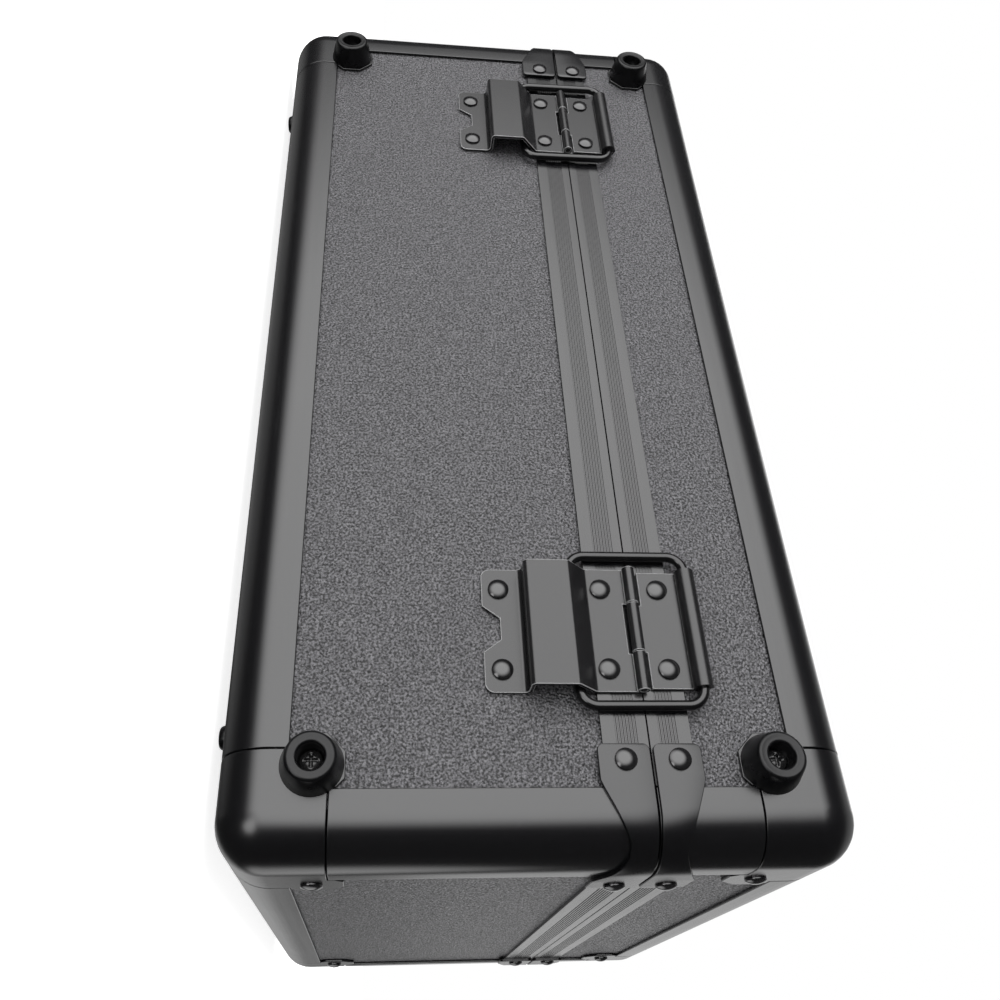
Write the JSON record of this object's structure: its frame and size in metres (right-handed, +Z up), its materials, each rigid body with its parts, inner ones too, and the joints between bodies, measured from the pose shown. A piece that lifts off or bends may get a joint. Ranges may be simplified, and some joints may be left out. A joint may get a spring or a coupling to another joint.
{
  "type": "graded card case",
  "caption": "Hard carrying case for graded card slabs: black boards in rounded extrusions, ribbed closing frame, wire stay hinges, two draw latches, folding handle and foam rows inside.",
  "frame": {"origin": "centre of the part's box at the level of the stud faces it stands on", "axes": "+Z up with the lid on top, +Y towards the hinge side, +X along the length to the right end seen from the latch side"},
  "size_m": [0.4048, 0.2942, 0.1951],
  "materials": {
    "grained_board": "black laminate with a pebble grain",
    "edge_extrusion": "satin black",
    "closing_extrusion": "satin black with fine ribs",
    "corner_moulding": "satin black moulding",
    "hardware": "black plated steel",
    "rivet": "glossy black domes",
    "lock_metal": "satin",
    "rubber": "soft black",
    "foam": "closed-cell black foam",
    "handle_plastic": "matt black grip"
  },
  "bodies": {
    "base": {"base_bottom_panel": "grained_board", "base_front_panel": "grained_board", "base_back_panel": "grained_board", "base_left_panel": "grained_board", "base_right_panel": "grained_board", "base_front_edge": "edge_extrusion", "base_back_edge": "edge_extrusion", "base_left_edge": "edge_extrusion", "base_right_edge": "edge_extrusion", "base_corner_posts": "edge_extrusion", "base_closing_frame": "closing_extrusion", "base_corner_pieces": "corner_moulding", "base_split_brackets": "hardware", "base_foam_floor": "foam", "base_foam_rows": "foam", "hinge_plates": "hardware", "hinge_pins": "hardware", "base_rivets": "rivet", "bottom_studs": "corner_moulding", "base_back_feet": "rubber", "base_foot_screws": "rivet", "latch_plates": "hardware", "handle_brackets": "hardware"},
    "lid": {"lid_top_panel": "grained_board", "lid_front_panel": "grained_board", "lid_back_panel": "grained_board", "lid_left_panel": "grained_board", "lid_right_panel": "grained_board", "lid_front_edge": "edge_extrusion", "lid_back_edge": "edge_extrusion", "lid_left_edge": "edge_extrusion", "lid_right_edge": "edge_extrusion", "lid_corner_posts": "edge_extrusion", "lid_closing_frame": "closing_extrusion", "lid_corner_pieces": "corner_moulding", "lid_split_brackets": "hardware", "lid_foam_pad": "foam", "hinge_leaves": "hardware", "lid_rivets": "rivet", "lid_back_feet": "rubber", "lid_foot_screws": "rivet", "latch_strikes": "hardware"},
    "handle": {"handle_grip": "handle_plastic"},
    "stay_ring_left": {"stay_ring_left": "hardware"},
    "latch_lever_left": {"latch_lever_left": "hardware"},
    "latch_claw_left": {"latch_claw_left": "hardware"},
    "lock_plug_left": {"lock_plug_left": "lock_metal"},
    "stay_ring_right": {"stay_ring_right": "hardware"},
    "latch_lever_right": {"latch_lever_right": "hardware"},
    "latch_claw_right": {"latch_claw_right": "hardware"},
    "lock_plug_right": {"lock_plug_right": "lock_metal"}
  },
  "joints": [
    {"name": "lid_hinge", "type": "hinge", "parent": "base", "child": "lid", "pos_m": [0, 0.1407, 0.1297], "axis": [-1, 0, 0], "range_deg": [0, 88]},
    {"name": "stay_ring_left_swing", "type": "hinge", "parent": "lid", "child": "stay_ring_left", "pos_m": [-0.129, 0.1407, 0.1484], "axis": [-1, 0, 0], "range_deg": [-57.5, 0]},
    {"name": "stay_ring_right_swing", "type": "hinge", "parent": "lid", "child": "stay_ring_right", "pos_m": [0.129, 0.1407, 0.1484], "axis": [-1, 0, 0], "range_deg": [-57.5, 0]},
    {"name": "latch_lever_left_swing", "type": "hinge", "parent": "base", "child": "latch_lever_left", "pos_m": [-0.129, -0.1343, 0.1057], "axis": [-1, 0, 0], "range_deg": [0, 100]},
    {"name": "latch_claw_left_swing", "type": "hinge", "parent": "latch_lever_left", "child": "latch_claw_left", "pos_m": [-0.129, -0.133, 0.0977], "axis": [-1, 0, 0], "range_deg": [-110, 0]},
    {"name": "lock_turn_left", "type": "hinge", "parent": "latch_lever_left", "child": "lock_plug_left", "pos_m": [-0.129, -0.1379, 0.0807], "axis": [0, -1, 0], "range_deg": [0, 90]},
    {"name": "latch_lever_right_swing", "type": "hinge", "parent": "base", "child": "latch_lever_right", "pos_m": [0.129, -0.1343, 0.1057], "axis": [-1, 0, 0], "range_deg": [0, 100]},
    {"name": "latch_claw_right_swing", "type": "hinge", "parent": "latch_lever_right", "child": "latch_claw_right", "pos_m": [0.129, -0.133, 0.0977], "axis": [-1, 0, 0], "range_deg": [-110, 0]},
    {"name": "lock_turn_right", "type": "hinge", "parent": "latch_lever_right", "child": "lock_plug_right", "pos_m": [0.129, -0.1379, 0.0807], "axis": [0, -1, 0], "range_deg": [0, 90]},
    {"name": "handle_swing", "type": "hinge", "parent": "base", "child": "handle", "pos_m": [0, -0.1391, 0.0877], "axis": [-1, 0, 0], "range_deg": [0, 90]}
  ],
  "couplings": [
    {"joint": "stay_ring_left_swing", "follows": "lid_hinge", "ratio": -0.64589},
    {"joint": "stay_ring_right_swing", "follows": "lid_hinge", "ratio": -0.64589},
    {"joint": "latch_claw_left_swing", "follows": "latch_lever_left_swing", "ratio": -1.1},
    {"joint": "latch_claw_right_swing", "follows": "latch_lever_right_swing", "ratio": -1.1}
  ]
}
